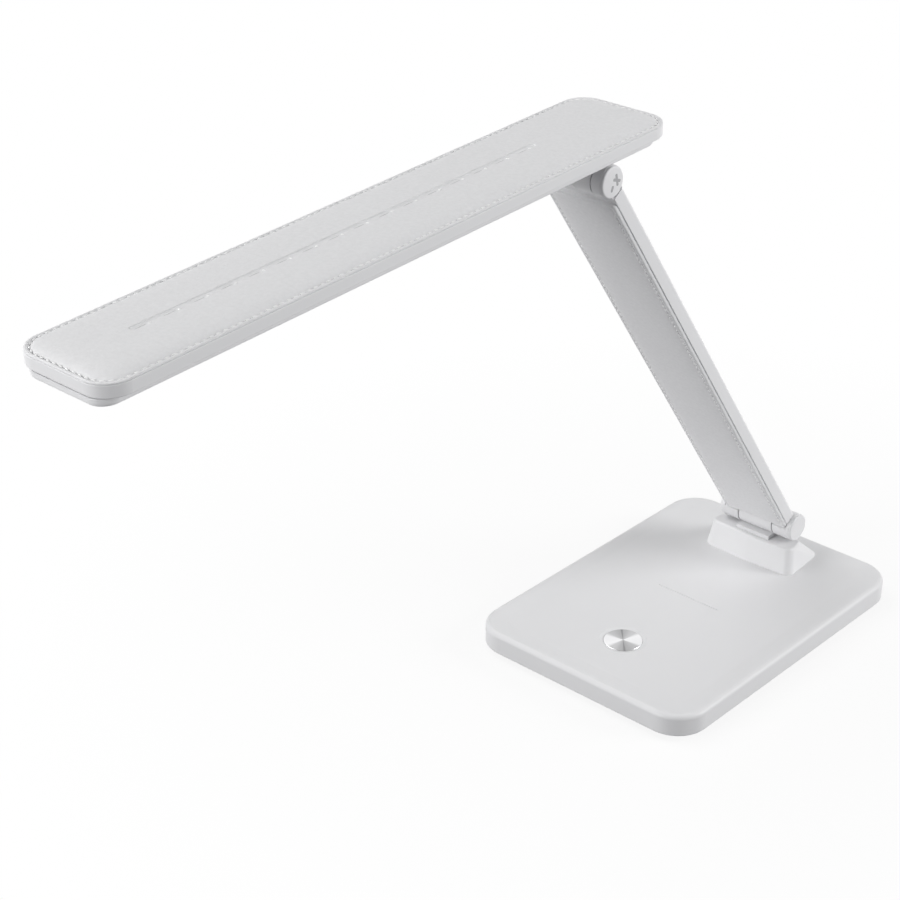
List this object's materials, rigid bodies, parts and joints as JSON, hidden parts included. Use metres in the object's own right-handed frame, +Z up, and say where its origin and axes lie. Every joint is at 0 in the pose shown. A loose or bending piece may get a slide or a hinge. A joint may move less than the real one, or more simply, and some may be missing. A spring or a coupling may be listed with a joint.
{
  "type": "folding desk lamp",
  "caption": "Folding desk lamp: a flat light head with a leather top on a leather-faced arm, hinged at both ends, over a rounded base with a touch key.",
  "frame": {"origin": "middle of the base's footprint at table level", "axes": "+X along both hinge axes to the lamp's right, -Y to the front where the light head reaches, +Z up"},
  "size_m": [0.15, 0.5311, 0.3333],
  "materials": {
    "white_plastic": "satin",
    "white_cast_metal": "satin",
    "white_leather": "fine grain",
    "brass": "turned",
    "steel": "zinc plated",
    "cast_iron": "bare",
    "rubber": "matte",
    "brushed_steel": "spun",
    "dark_plastic": "matte",
    "green_board": "lacquered",
    "milky_plastic": "milky",
    "clear_plastic": "clear",
    "reflector_film": "white film",
    "aluminium": "mill",
    "led_chips": "phosphor"
  },
  "bodies": {
    "base": {"base_shell": "white_plastic", "foot_plate": "white_plastic", "foot_pad": "rubber", "weight_plate": "cast_iron", "hinge_bracket": "steel", "plinth": "white_plastic", "hinge_post": "white_cast_metal", "lower_bushing": "brass", "lower_washers": "steel", "touch_key": "brushed_steel", "touch_spring": "brass", "control_board": "green_board", "board_parts": "dark_plastic", "power_jack": "dark_plastic", "jack_pin": "steel", "base_screws": "steel", "bracket_screws": "steel"},
    "arm": {"arm_frame": "white_plastic", "arm_back": "white_plastic", "arm_leather": "white_leather", "arm_bar": "aluminium", "arm_wires": "dark_plastic", "lower_pin": "steel", "upper_pin": "steel", "lower_caps": "white_plastic", "upper_caps": "white_plastic"},
    "head": {"head_frame": "white_plastic", "head_leather": "white_leather", "light_housing": "white_plastic", "head_bracket": "white_cast_metal", "upper_bushing": "brass", "upper_washers": "steel", "diffuser": "milky_plastic", "light_guide": "clear_plastic", "reflector": "reflector_film", "heat_plate": "aluminium", "led_boards": "aluminium", "led_chips": "led_chips", "head_screws": "steel"}
  },
  "joints": [
    {"name": "arm_fold", "type": "hinge", "parent": "base", "child": "arm", "pos_m": [0, 0.0721, 0.0413], "axis": [1, 0, 0], "range_deg": [-45, 55]},
    {"name": "head_fold", "type": "hinge", "parent": "arm", "child": "head", "pos_m": [0, -0.11523, 0.30884], "axis": [1, 0, 0], "range_deg": [-40, 80]}
  ]
}
